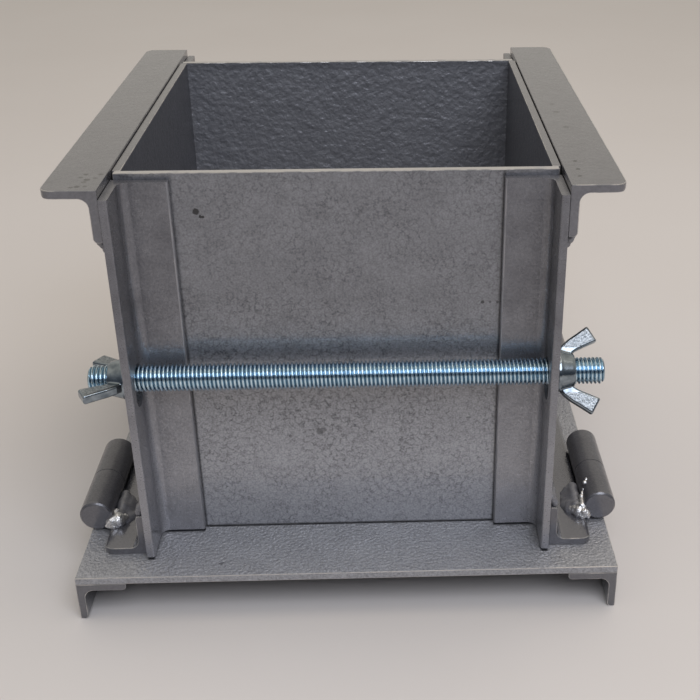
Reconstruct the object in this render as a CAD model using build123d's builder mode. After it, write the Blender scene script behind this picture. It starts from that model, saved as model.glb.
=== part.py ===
from math import cos, hypot, radians, sin, sqrt
import os

from build123d import *

os.makedirs("parts", exist_ok=True)

# Concrete cube mould: a base plate on two angle feet, two side walls that swing
# outwards on lift-off hinges, two loose end panels held between the side walls
# and their clamp angles, and two threaded rods with wing nuts that pull the walls
# together. X runs across the rods' length, Y from the front to the rear, Z up.
# The origin is under the middle of the base plate, on the surface it stands on.
# All sizes are millimetres.

# Cavity and plates
cube = 150.0  # inside of the mould, each way
wall_t = 3.0  # side wall thickness
panel_t = 3.0  # end panel thickness
slip = 0.2  # play of an end panel between a wall's edge and a clamp angle
panel_end_gap = 0.2  # least gap from a panel's end to a rail as the wall swings
sheet_edge = 0.3  # edge break along the top of the plates

# Base plate and its angle feet
base_t = 3.0
base_margin_x = 2.6  # base plate past the hinge axis
base_margin_y = 10.8  # base plate past the clamp angles
foot_leg = 19.0
foot_drop = 16.5  # height of the foot under the base plate
foot_t = 3.0

# Clamp angles, one at each upright corner
clamp_leg = 20.0
clamp_t = 3.0
clamp_drop = 2.2  # angle's top under the top of the wall
clamp_lift = 0.8  # angle's foot above the base plate

# Handle angles along the top, and rails along the bottom, of the side walls
handle_leg = 18.8
handle_t = 3.0
handle_rise = 1.0  # handle's top above the top of the wall
handle_set_back = 1.0  # handle's end behind the clamp angle's edge
handle_corner = 4.0
rail_width = 17.0
rail_height = 18.0
rail_t = 3.0
rail_set_back = 3.0
rail_corner = 4.0
weld_gap = 0.5  # handle and rail stand off the wall by this much

# Rolled angle sections
root_r = 3.5  # inside corner of a rolled angle
toe_r = 1.6  # rounded inner edge of a leg's end
clamp_toe_r = 0.8  # the clamp angles' ends are squarer

# Lift-off hinges: a barrel half on the rail, a barrel half with a pin on the base plate
barrel_r = 6.5
barrel_half = 24.0  # length of each half
barrel_lift = 0.5  # barrel above the base plate
barrel_edge = 0.8  # chamfer on the barrel's outer end
hinge_gap = 0.3  # barrel to rail, and half to half
hinge_in = 15.2  # hinge's outer end in from the rail's end
pin_r = 3.5
pin_reach = 18.0  # pin's length in each half
pin_play = 0.06  # running clearance of the pin, on the radius
pin_end_play = 0.8

# Clamp rods and wing nuts, M10
rod_r = 5.0
rod_stand = 16.0  # rod past the clamp angles' outer faces, on average
rod_shift = 1.8  # the front rod stands this much further out on the right
rod_chamfer = 0.9
slot_side = 0.6  # slot to rod, on each side
nut_base_wall = 2.7  # hub past the rod, at its seat
nut_top_wall = 1.4  # hub past the rod, at its top
nut_height = 7.0
nut_play = 0.05  # bore to rod, on the radius
wing_t = 3.0
wing_reach = 8.8  # wing's tip past the hub's seat
wing_tip_up = 12.7
wing_flare = 4.4  # wing's outer corner past the hub's top
wing_outer_up = 16.0
wing_root_up = 0.8
wing_sink = 0.4  # wing's root inside the hub's outline
wing_edge = 0.7
wing_corner = 1.2

# Weld beads
bead_leg = 4.2  # handle and rail beads, along the wall
bead_bulge = 0.5
bead_margin = 1.0  # bead's ends inside the clamp angle's leg and the rail's end
stitch = 26.0  # length of a stitch along the wall or the foot
stitch_end = 36.0  # middle of an end stitch from the foot's end
foot_bead_r = 4.0  # bulge of a foot bead
hinge_bead = 18.0  # length of a hinge bead
hinge_bead_reach = 7.5  # bead over the rail, in from its edge
hinge_bead_top = 3.0  # bead's top above the hinge axis
hinge_bead_out = 1.0  # bead under the barrel, out past its axis
bead_clear = 0.05  # hinge bead to barrel, so that their round faces share nothing

# Levels and faces worked out from the sizes above
base_top = foot_drop + base_t
wall_top = base_top + cube
wall_out = cube / 2 + wall_t
panel_out = cube / 2 + panel_t
clamp_face = panel_out + slip
clamp_edge = clamp_face + clamp_leg
angle_in = wall_out + weld_gap
rail_edge = angle_in + rail_width
handle_top = wall_top + handle_rise
handle_low = handle_top - handle_leg
handle_half = clamp_edge - handle_set_back
rail_half = clamp_edge - rail_set_back
hinge_rise = barrel_r + barrel_lift
hinge_z = base_top + hinge_rise
hinge_x = rail_edge + sqrt((barrel_r + hinge_gap) ** 2 - (hinge_rise - rail_t) ** 2)
base_half_x = hinge_x + base_margin_x
base_half_y = clamp_edge + base_margin_y
rod_y = clamp_face + clamp_leg / 2
rod_z = base_top + cube / 2
rod_len = 2 * (wall_out + rod_stand)
hinge_offset = rail_half - hinge_in - barrel_half
nut_base_r = rod_r + nut_base_wall
nut_top_r = rod_r + nut_top_wall
wing_tip_r = nut_base_r + wing_reach
wing_outer_r = nut_top_r + wing_flare
rail_top = base_top + rail_height

# How far the rail's lower edge comes in, and the slot's lower end comes up, as a wall swings
rail_swing_in = hypot(hinge_x - angle_in, hinge_rise) - (hinge_x - angle_in)
panel_half = angle_in - rail_swing_in - panel_end_gap
slot_arm = rod_z - rod_r - hinge_z
slot_drop = hypot(hinge_x - wall_out + clamp_t, slot_arm) - slot_arm + slot_side

sides = (("left", -1), ("right", 1))
ends = (("front", -1), ("rear", 1))


def side_plane(side, y=0.0):
    # Sketch plane across a wall: its first axis points out of the mould, its second up
    return Plane(origin=(0, y, 0), x_dir=(side, 0, 0), z_dir=(0, -side, 0))


def corner_plane(side, end, z):
    # Level sketch plane whose two axes point out of the mould at that corner
    return Plane(origin=(0, 0, z), x_dir=(side, 0, 0), z_dir=(0, 0, side * end))


def angle_section(plane, corner, leg_a, leg_b, thickness, step_a, step_b, toe=toe_r):
    # L section with its heel at corner; step_a and step_b are the signs of the legs' directions
    def place(a, b):
        return (corner[0] + step_a * a, corner[1] + step_b * b)

    with BuildSketch(plane) as section:
        with BuildLine():
            Polyline(
                place(0, 0),
                place(leg_a, 0),
                place(leg_a, thickness),
                place(thickness, thickness),
                place(thickness, leg_b),
                place(0, leg_b),
                close=True,
            )
        make_face()
        fillet(section.vertices().sort_by_distance(place(thickness, thickness))[0], radius=root_r)
        fillet(section.vertices().sort_by_distance(place(leg_a, thickness))[0], radius=toe)
        fillet(section.vertices().sort_by_distance(place(thickness, leg_b))[0], radius=toe)
    return section.sketch


def leg_plan(side, z, leg, half, corner):
    # Plan of a handle or a rail, its two outer corners rounded
    with BuildSketch(Plane.XY.offset(z)) as plan:
        with Locations((side * (angle_in + leg / 2), 0)):
            Rectangle(leg, 2 * half)
        fillet(plan.vertices().sort_by_distance((0, 0))[-2:], radius=corner)
    return plan.sketch


def bead_section(plane, corner, run_out, run_up):
    # Fillet weld with a bulging face, in the corner between a wall and a leg's end
    middle = (
        corner[0] + run_out * 0.5 + bead_bulge,
        corner[1] + run_up * 0.5 + (bead_bulge if run_up > 0 else -bead_bulge),
    )
    with BuildSketch(plane) as section:
        with BuildLine():
            Line(corner, (corner[0] + run_out, corner[1]))
            ThreePointArc((corner[0] + run_out, corner[1]), middle, (corner[0], corner[1] + run_up))
            Line((corner[0], corner[1] + run_up), corner)
        make_face()
    return section.sketch


# Base plate
with BuildPart() as base_plate:
    with BuildSketch(Plane.XY.offset(foot_drop)):
        Rectangle(2 * base_half_x, 2 * base_half_y)
    extrude(amount=base_t)
    chamfer(base_plate.edges().group_by(Axis.Z)[-1], length=sheet_edge)
base_plate.part.label = "base_plate"
export_step(base_plate.part, "parts/base_plate.step")

# Angle feet under the left and right edges, with their welds
for side_name, side in sides:
    foot_section = angle_section(
        side_plane(side), (base_half_x, foot_drop), foot_leg, foot_drop, foot_t, -1, -1
    )
    with BuildPart() as foot:
        extrude(foot_section, amount=base_half_y, both=True)
    foot.part.label = f"{side_name}_foot"
    export_step(foot.part, f"parts/{side_name}_foot.step")

    toe = (base_half_x - foot_leg, foot_drop)
    with BuildPart() as foot_welds:
        for y in (stitch_end - base_half_y, 0, base_half_y - stitch_end):
            with BuildSketch(side_plane(side, y)):
                with BuildLine():
                    Line(toe, (toe[0] - foot_t, toe[1]))
                    RadiusArc((toe[0] - foot_t, toe[1]), (toe[0], toe[1] - foot_t + toe_r), -foot_bead_r)
                    Line((toe[0], toe[1] - foot_t + toe_r), toe)
                make_face()
            extrude(amount=stitch / 2, both=True)
    foot_welds.part.label = f"{side_name}_foot_welds"
    export_step(foot_welds.part, f"parts/{side_name}_foot_welds.step")

# End panels, loose between the walls' edges and the clamp angles
for end_name, end in ends:
    with BuildPart() as panel:
        with BuildSketch(Plane.XY.offset(base_top)):
            with Locations((0, end * (cube / 2 + panel_t / 2))):
                Rectangle(2 * panel_half, panel_t)
        extrude(amount=cube)
        chamfer(panel.edges().group_by(Axis.Z)[-1], length=sheet_edge)
    panel.part.label = f"{end_name}_panel"
    export_step(panel.part, f"parts/{end_name}_panel.step")

# Side walls with the handle along the top and the rail along the bottom
for side_name, side in sides:
    with BuildPart() as wall:
        with BuildSketch(Plane.XY.offset(base_top)):
            with Locations((side * (cube / 2 + wall_t / 2), 0)):
                Rectangle(wall_t, cube - 2 * slip)
        extrude(amount=cube)
        chamfer(wall.edges().group_by(Axis.Z)[-1], length=sheet_edge)
    wall.part.label = f"{side_name}_wall"
    export_step(wall.part, f"parts/{side_name}_wall.step")

    handle_section = angle_section(
        side_plane(side), (angle_in, handle_top), handle_leg, handle_leg, handle_t, 1, -1
    )
    with BuildPart() as handle:
        extrude(handle_section, amount=handle_half, both=True)
        grip_plan = leg_plan(side, handle_low, handle_leg, handle_half, handle_corner)
        extrude(grip_plan, amount=handle_leg, mode=Mode.INTERSECT)
    handle.part.label = f"{side_name}_handle"
    export_step(handle.part, f"parts/{side_name}_handle.step")

    rail_section = angle_section(
        side_plane(side), (angle_in, base_top), rail_width, rail_height, rail_t, 1, 1
    )
    with BuildPart() as rail:
        extrude(rail_section, amount=rail_half, both=True)
        lip_plan = leg_plan(side, base_top, rail_width, rail_half, rail_corner)
        extrude(lip_plan, amount=rail_height, mode=Mode.INTERSECT)
    rail.part.label = f"{side_name}_rail"
    export_step(rail.part, f"parts/{side_name}_rail.step")

    # Beads under the handle and over the rail: on the clamp angles and on the wall
    corner_bead = rail_half - clamp_face - 2 * bead_margin
    corner_bead_y = (rail_half + clamp_face) / 2
    runs = ((-corner_bead_y, corner_bead), (0.0, stitch), (corner_bead_y, corner_bead))
    with BuildPart() as handle_welds:
        for y, length in runs:
            bead = bead_section(
                side_plane(side, y), (wall_out, handle_low), weld_gap + handle_t, -bead_leg
            )
            extrude(bead, amount=length / 2, both=True)
    handle_welds.part.label = f"{side_name}_handle_welds"
    export_step(handle_welds.part, f"parts/{side_name}_handle_welds.step")

    with BuildPart() as rail_welds:
        for y, length in runs:
            bead = bead_section(
                side_plane(side, y), (wall_out, rail_top), weld_gap + rail_t, bead_leg
            )
            extrude(bead, amount=length / 2, both=True)
    rail_welds.part.label = f"{side_name}_rail_welds"
    export_step(rail_welds.part, f"parts/{side_name}_rail_welds.step")

# Clamp angles at the four upright corners, each with an upright slot for its rod
clamp_low = base_top + clamp_lift
clamp_high = wall_top - clamp_drop
slot_w = 2 * (rod_r + slot_side)
for side_name, side in sides:
    for end_name, end in ends:
        clamp_section = angle_section(
            corner_plane(side, end, (clamp_low + clamp_high) / 2),
            (wall_out, clamp_face),
            clamp_leg,
            clamp_leg,
            clamp_t,
            -1,
            1,
            clamp_toe_r,
        )
        slot_plane = Plane(
            origin=(side * wall_out, end * rod_y, rod_z - slot_drop / 2),
            x_dir=(0, 1, 0),
            z_dir=(side, 0, 0),
        )
        with BuildPart() as clamp:
            extrude(clamp_section, amount=(clamp_high - clamp_low) / 2, both=True)
            with BuildSketch(slot_plane):
                SlotOverall(slot_w + slot_drop, slot_w, rotation=90)
            extrude(amount=clamp_t + root_r, both=True, mode=Mode.SUBTRACT)
        clamp.part.label = f"{end_name}_{side_name}_clamp_angle"
        export_step(clamp.part, f"parts/{end_name}_{side_name}_clamp_angle.step")

# Lift-off hinges: the rail's half in front, the base plate's half with the pin behind it
barrel_len = barrel_half - hinge_gap / 2
for side_name, side in sides:
    for end_name, end in ends:
        split_y = end * hinge_offset
        front_face = Plane(
            origin=(side * hinge_x, split_y - hinge_gap / 2, hinge_z), x_dir=(1, 0, 0), z_dir=(0, -1, 0)
        )
        rear_face = Plane(
            origin=(side * hinge_x, split_y + hinge_gap / 2, hinge_z), x_dir=(1, 0, 0), z_dir=(0, 1, 0)
        )
        pin_front = Plane(
            origin=(side * hinge_x, split_y - pin_reach, hinge_z), x_dir=(1, 0, 0), z_dir=(0, 1, 0)
        )
        with BuildPart() as rail_barrel:
            with BuildSketch(front_face):
                Circle(barrel_r)
            extrude(amount=barrel_len)
            chamfer(rail_barrel.edges().group_by(Axis.Y)[0], length=barrel_edge)
            with BuildSketch(front_face):
                Circle(pin_r + pin_play)
            extrude(amount=pin_reach + pin_end_play, mode=Mode.SUBTRACT)
        rail_barrel.part.label = f"{end_name}_{side_name}_hinge_socket"
        export_step(rail_barrel.part, f"parts/{end_name}_{side_name}_hinge_socket.step")

        with BuildPart() as base_barrel:
            with BuildSketch(rear_face):
                Circle(barrel_r)
            extrude(amount=barrel_len)
            chamfer(base_barrel.edges().group_by(Axis.Y)[-1], length=barrel_edge)
            with BuildSketch(rear_face):
                Circle(pin_r)
            extrude(amount=pin_reach - hinge_gap / 2, mode=Mode.SUBTRACT)
        base_barrel.part.label = f"{end_name}_{side_name}_hinge_base"
        export_step(base_barrel.part, f"parts/{end_name}_{side_name}_hinge_base.step")

        with BuildPart() as pin:
            with BuildSketch(pin_front):
                Circle(pin_r)
            extrude(amount=2 * pin_reach)
            chamfer(pin.edges().group_by(Axis.Y)[0], length=barrel_edge)
        pin.part.label = f"{end_name}_{side_name}_hinge_pin"
        export_step(pin.part, f"parts/{end_name}_{side_name}_hinge_pin.step")

    # Beads that hold the hinge halves, cut to the barrel
    lip = base_top + rail_t
    with BuildPart() as socket_welds:
        for _, end in ends:
            bead_y = end * hinge_offset - barrel_half + hinge_bead / 2
            with BuildSketch(side_plane(side, bead_y)):
                with BuildLine():
                    Polyline(
                        (rail_edge - hinge_bead_reach, lip),
                        (rail_edge, lip),
                        (hinge_x, hinge_z),
                        (hinge_x - barrel_r + bead_bulge, hinge_z + hinge_bead_top),
                    )
                    ThreePointArc(
                        (hinge_x - barrel_r + bead_bulge, hinge_z + hinge_bead_top),
                        (rail_edge - hinge_bead_reach / 2, lip + hinge_bead_top + bead_bulge),
                        (rail_edge - hinge_bead_reach, lip),
                    )
                make_face()
                with Locations((hinge_x, hinge_z)):
                    Circle(barrel_r + bead_clear, mode=Mode.SUBTRACT)
            extrude(amount=hinge_bead / 2, both=True)
    socket_welds.part.label = f"{side_name}_socket_welds"
    export_step(socket_welds.part, f"parts/{side_name}_socket_welds.step")

    with BuildPart() as hinge_base_welds:
        for _, end in ends:
            bead_y = end * hinge_offset + barrel_half - hinge_bead / 2
            with BuildSketch(side_plane(side, bead_y)):
                with BuildLine():
                    Polyline(
                        (rail_edge + hinge_gap, base_top),
                        (hinge_x + hinge_bead_out, base_top),
                        (hinge_x + hinge_bead_out, hinge_z),
                        (hinge_x, hinge_z),
                        (rail_edge + hinge_gap, base_top + rail_t - bead_bulge),
                        close=True,
                    )
                make_face()
                with Locations((hinge_x, hinge_z)):
                    Circle(barrel_r + bead_clear, mode=Mode.SUBTRACT)
            extrude(amount=hinge_bead / 2, both=True)
    hinge_base_welds.part.label = f"{side_name}_hinge_base_welds"
    export_step(hinge_base_welds.part, f"parts/{side_name}_hinge_base_welds.step")

# Threaded rods, drawn at the thread's outer diameter
for end_name, end in ends:
    rod_start = -rod_len / 2 - end * rod_shift
    with BuildPart() as rod:
        with BuildSketch(Plane(origin=(rod_start, end * rod_y, rod_z), x_dir=(0, 1, 0), z_dir=(1, 0, 0))):
            Circle(rod_r)
        extrude(amount=rod_len)
        chamfer(rod.edges().filter_by(GeomType.CIRCLE), length=rod_chamfer)
    rod.part.label = f"{end_name}_rod"
    export_step(rod.part, f"parts/{end_name}_rod.step")

# Wing nuts, each stopped at its own angle: degrees from upright, the top leaning to the rear
wing_turn = {
    ("front", "left"): -83.0,
    ("front", "right"): 42.0,
    ("rear", "left"): 24.0,
    ("rear", "right"): -58.0,
}
for (end_name, side_name), turn in wing_turn.items():
    side = dict(sides)[side_name]
    end = dict(ends)[end_name]
    seat = (side * wall_out, end * rod_y, rod_z)
    across = Vector(0, sin(radians(turn)), cos(radians(turn)))
    out = Vector(side, 0, 0)
    wing_plane = Plane(origin=seat, x_dir=across, z_dir=across.cross(out))
    seat_plane = Plane(origin=seat, x_dir=across, z_dir=out)
    with BuildPart() as nut:
        with BuildSketch(wing_plane) as wings:
            with BuildLine():
                Polyline(
                    (0, wing_root_up),
                    (nut_base_r - wing_sink, wing_root_up),
                    (wing_tip_r, wing_tip_up),
                    (wing_outer_r, wing_outer_up),
                    (nut_top_r - wing_sink, nut_height - wing_sink),
                    (0, nut_height - wing_sink),
                    close=True,
                )
            make_face()
            tips = wings.vertices().filter_by(lambda v: v.X > nut_base_r)
            fillet(tips, radius=wing_corner)
            mirror(about=Plane.YZ)
        extrude(amount=wing_t / 2, both=True)
        chamfer(nut.faces().filter_by(wing_plane).edges(), length=wing_edge)
        with BuildSketch(seat_plane):
            Circle(nut_base_r)
        with BuildSketch(seat_plane.offset(nut_height)):
            Circle(nut_top_r)
        loft()
        with BuildSketch(seat_plane):
            Circle(rod_r + nut_play)
        extrude(amount=nut_height + wing_outer_up, mode=Mode.SUBTRACT)
    nut.part.label = f"{end_name}_{side_name}_wing_nut"
    export_step(nut.part, f"parts/{end_name}_{side_name}_wing_nut.step")

print(f"base plate {2 * base_half_x:.1f} x {2 * base_half_y:.1f}, top of handles {handle_top:.1f}")
print(f"hinge axis at x {hinge_x:.2f} z {hinge_z:.2f}, rods at y {rod_y:.2f} z {rod_z:.2f}")
print(f"panel half width {panel_half:.2f}, slot drop {slot_drop:.2f}")
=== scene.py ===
import math
import random

import bmesh
import bpy
from mathutils import Matrix, Vector


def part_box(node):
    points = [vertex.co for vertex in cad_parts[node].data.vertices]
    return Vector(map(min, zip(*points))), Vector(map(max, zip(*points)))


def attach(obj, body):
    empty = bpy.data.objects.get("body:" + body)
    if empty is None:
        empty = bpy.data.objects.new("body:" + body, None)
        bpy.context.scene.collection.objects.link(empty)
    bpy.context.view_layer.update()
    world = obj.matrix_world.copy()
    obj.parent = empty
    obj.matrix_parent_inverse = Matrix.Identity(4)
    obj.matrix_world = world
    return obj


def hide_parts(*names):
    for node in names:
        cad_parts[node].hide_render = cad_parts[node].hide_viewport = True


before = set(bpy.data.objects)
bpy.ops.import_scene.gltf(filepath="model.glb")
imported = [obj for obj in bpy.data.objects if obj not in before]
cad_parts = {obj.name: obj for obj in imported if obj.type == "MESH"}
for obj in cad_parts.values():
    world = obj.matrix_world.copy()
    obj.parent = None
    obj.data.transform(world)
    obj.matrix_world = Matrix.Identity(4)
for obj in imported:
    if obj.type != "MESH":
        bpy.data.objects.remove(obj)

# Concrete cube mould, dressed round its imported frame. Sizes are in millimetres until mm turns them
# to metres; X runs along the rods, Y from the front to the rear, Z up.
mm = 0.001
scene = bpy.context.scene
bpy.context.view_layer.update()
sides = {"left": -1, "right": 1}
ends = {"front": -1, "rear": 1}
corners = [(end, side) for end in ends for side in sides]


def clearSelection():
    if bpy.context.object and bpy.context.object.mode != "OBJECT":
        bpy.ops.object.mode_set(mode="OBJECT")
    bpy.ops.object.select_all(action="DESELECT")


def activate(piece):
    clearSelection()
    piece.select_set(True)
    bpy.context.view_layer.objects.active = piece


def editAll(piece):  # into edit mode with everything selected
    activate(piece)
    bpy.ops.object.mode_set(mode="EDIT")
    bpy.ops.mesh.select_mode(type="VERT")
    bpy.ops.mesh.select_all(action="SELECT")


def pickEdges(piece, wanted):  # in edit mode, selects the edges that pass the test
    bpy.ops.mesh.select_mode(type="EDGE")
    bpy.ops.mesh.select_all(action="DESELECT")
    shape = bmesh.from_edit_mesh(piece.data)
    for edge in shape.edges:
        if wanted(edge):
            edge.select_set(True)
    shape.select_flush_mode()
    bmesh.update_edit_mesh(piece.data)


def runOf(edge, axis):  # how far an edge runs along an axis
    return abs((edge.verts[0].co - edge.verts[1].co)[axis])


def applyModifier(piece, kind, **settings):
    activate(piece)
    modifier = piece.modifiers.new(kind.lower(), kind)
    for key, value in settings.items():
        setattr(modifier, key, value)
    bpy.ops.object.modifier_apply(modifier=modifier.name)


# The sharpest bend, in degrees, that each kind of surface shades over.
creases = {"sheet": 32, "turned": 50, "bead": 60}


def smoothShade(piece, kind="sheet"):
    activate(piece)
    bpy.ops.object.shade_smooth_by_angle(angle=math.radians(creases[kind]))
    if kind == "sheet":  # broad faces stay flat beside their narrow bevels
        applyModifier(piece, "WEIGHTED_NORMAL", keep_sharp=True)


def addBox(name, low, high):
    clearSelection()
    middle = (Vector(low) + Vector(high)) / 2
    size = Vector(high) - Vector(low)
    bpy.ops.mesh.primitive_cube_add(size=1, location=middle, scale=size)
    piece = bpy.context.object
    piece.name = name
    bpy.ops.object.transform_apply(location=True, rotation=True, scale=True)
    return piece


def drawLine(name, points, closed=False):  # one vertex, extruded from point to point, left in edit mode
    clearSelection()
    points = [Vector(point) * mm for point in points]
    bpy.ops.mesh.primitive_plane_add(size=mm, location=points[0])
    piece = bpy.context.object
    piece.name = name
    bpy.ops.object.transform_apply(location=True)
    editAll(piece)
    bpy.ops.mesh.merge(type="CENTER")
    for here, there in zip(points, points[1:]):
        bpy.ops.mesh.extrude_vertices_move(TRANSFORM_OT_translate={"value": there - here})
    bpy.ops.mesh.select_all(action="SELECT")
    if closed:
        bpy.ops.mesh.edge_face_add()
    return piece


def joinAll(name, parts):
    clearSelection()
    for part in parts:
        part.select_set(True)
    bpy.context.view_layer.objects.active = parts[0]
    if len(parts) > 1:
        bpy.ops.object.join()
    parts[0].name = name
    return parts[0]


copyForm = {"merge": 0.004, "flat": 0.6}  # millimetres, degrees


def nodeCopy(node, name):  # a merged copy of a CAD node, its flat faces whole again
    piece = bpy.data.objects.new(name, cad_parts[node].data.copy())
    scene.collection.objects.link(piece)
    piece.data.materials.clear()
    editAll(piece)
    bpy.ops.mesh.customdata_custom_splitnormals_clear()
    bpy.ops.mesh.remove_doubles(threshold=copyForm["merge"] * mm)
    bpy.ops.mesh.dissolve_limited(angle_limit=math.radians(copyForm["flat"]))
    bpy.ops.object.mode_set(mode="OBJECT")
    return piece


def mount(piece, body, node):  # rides the body and stands in for the node, which it hides
    clearSelection()
    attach(piece, body)
    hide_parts(node)


# Finishes

def fromHex(code):  # an sRGB hex colour as linear red, green, blue, alpha
    parts = [int(code[i:i + 2], 16) / 255 for i in (1, 3, 5)]
    linear = [c / 12.92 if c <= 0.04045 else ((c + 0.055) / 1.055) ** 2.4 for c in parts]
    return (*linear, 1.0)


# pairs of sockets that are set together
fromSpan = ("From Min", "From Max")
toSpan = ("To Min", "To Max")


def addNode(tree, kind, inputs=None, **settings):  # an input that is a node links that node's first output
    node = tree.nodes.new(kind)
    for key, value in settings.items():
        setattr(node, key, value)
    for sockets, values in (inputs or {}).items():
        pairs = zip(sockets, values) if isinstance(sockets, tuple) else [(sockets, values)]
        for socket, value in pairs:
            if isinstance(value, bpy.types.Node):
                value = value.outputs[0]
            if isinstance(value, bpy.types.NodeSocket):
                tree.links.new(value, node.inputs[socket])
            else:
                node.inputs[socket].default_value = value
    return node


def newMaterial(name):
    material = bpy.data.materials.new(name)
    material.use_nodes = True
    tree = material.node_tree
    shader = tree.nodes["Principled BSDF"]
    where = addNode(tree, "ShaderNodeTexCoord").outputs["Object"]
    return material, tree, shader, where


def perMm(size):  # texture scale that gives features of this many millimetres
    return 1 / (size * mm)


# Silver hammer enamel: aluminium flake in grey lacquer, sprayed on steel. Up close it is a fine sparkle
# broken by thin dark seams where the lacquer drew together, glossy, and lumpy where it lies thick.
enamelLooks = {
    "panelEnamel": {"light": "#b2b3b8", "dark": "#3f4046", "cell": 2.8, "seam": 0.40, "topShade": 0.50,
                    "lump": (2.0, 0.05), "mottle": 0.10, "fleck": 0.31, "pits": 0.25,
                    "roughness": (0.28, 0.44), "metal": 0.45, "coat": (0.85, 0.03),
                    "wetLumps": False, "marked": "panel"},
    "insideEnamel": {"light": "#96979d", "dark": "#3a3b41", "cell": 3.0, "seam": 0.08, "topShade": 0.0,
                     "lump": (2.2, 0.18), "mottle": 0.14, "fleck": 0.16, "pits": 0.0,
                     "roughness": (0.38, 0.52), "metal": 0.45, "coat": (0.08, 0.15),
                     "wetLumps": True, "marked": None},
    # the side walls' inner faces: a darker enamel, painted shade
    "sidePaintedShadeEnamel": {"light": "#6b6c72", "dark": "#303137", "cell": 3.0, "seam": 0.05, "topShade": 0.0,
                   "lump": (2.2, 0.06), "mottle": 0.16, "fleck": 0.16, "pits": 0.0,
                   "roughness": (0.34, 0.46), "metal": 0.45, "coat": (0.25, 0.12),
                   "wetLumps": True, "marked": None},
    "baseEnamel": {"light": "#b1b2b7", "dark": "#3f4046", "cell": 2.2, "seam": 0.20, "topShade": 0.0,
                   "lump": (1.3, 0.16), "mottle": 0.12, "fleck": 0.30, "pits": 0.2,
                   "roughness": (0.32, 0.46), "metal": 0.45, "coat": (0.28, 0.12),
                   "wetLumps": True, "marked": "base"},
    "angleEnamel": {"light": "#78787d", "dark": "#404046", "cell": 2.4, "seam": 0.04, "topShade": 0.0,
                    "lump": (3.0, 0.02), "mottle": 0.16, "fleck": 0.20, "pits": 0.15,
                    "roughness": (0.17, 0.26), "metal": 0.62, "coat": (0.45, 0.06),
                    "wetLumps": False, "marked": "handles"},
    # clamp angles: a lighter angle enamel that darkens towards the top, painted light below and painted
    # shade above
    "clampPaintedLightEnamel": {"light": "#a6a6ab", "dark": "#404046", "cell": 2.4, "seam": 0.04, "topShade": 0.50,
                    "lump": (3.0, 0.02), "mottle": 0.16, "fleck": 0.22, "pits": 0.15,
                    "roughness": (0.26, 0.36), "metal": 0.62, "coat": (0.20, 0.15),
                    "wetLumps": False, "marked": None},
    # hinge barrels: a darker angle enamel, painted shade
    "barrelPaintedShadeEnamel": {"light": "#6a6a6f", "dark": "#34343a", "cell": 2.4, "seam": 0.05, "topShade": 0.0,
                     "lump": (3.0, 0.02), "mottle": 0.20, "fleck": 0.30, "pits": 0.3,
                     "roughness": (0.28, 0.40), "metal": 0.55, "coat": (0.30, 0.12),
                     "wetLumps": False, "marked": None},
    "weldEnamel": {"light": "#8d8d92", "dark": "#434349", "cell": 2.0, "seam": 0.08, "topShade": 0.0,
                   "lump": (1.6, 0.05), "mottle": 0.26, "fleck": 0.16, "pits": 0.0,
                   "roughness": (0.36, 0.52), "metal": 0.45, "coat": (0.12, 0.15),
                   "wetLumps": True, "marked": None},
}
# Shared by all of them. A noise is its size and detail. A span is the part of a pattern's range that is
# spread over its effect. Real flake is too fine to show, so it is drawn coarser.
enamelGrain = {
    "drift": (0.7, 4), "pull": 1.3, "seamWide": 0.18,  # warp and seams, in cells
    "mottle": (9, 4), "mottleSpan": (0.3, 0.7),
    "patch": (12, 5), "patchSpan": (0.35, 0.65), "patchShare": (0.45, 1.15),
    "flake": (0.75, 3), "flakeSpan": (0.35, 0.65), "flakeDepth": 0.05, "flakeBump": 0.5,
    "lumpDetail": 2, "lumpSpan": (0.42, 0.58), "lumpShare": (0.3, 1.0), "lumpBump": 4,
    "weakRise": (70, 130), "weakest": 0.5, "topShadeRise": (50, 120),  # heights
    "pitSpacing": 8, "pitKept": (0.70, 0.75), "pitWide": (0.03, 0.07),
}
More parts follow.
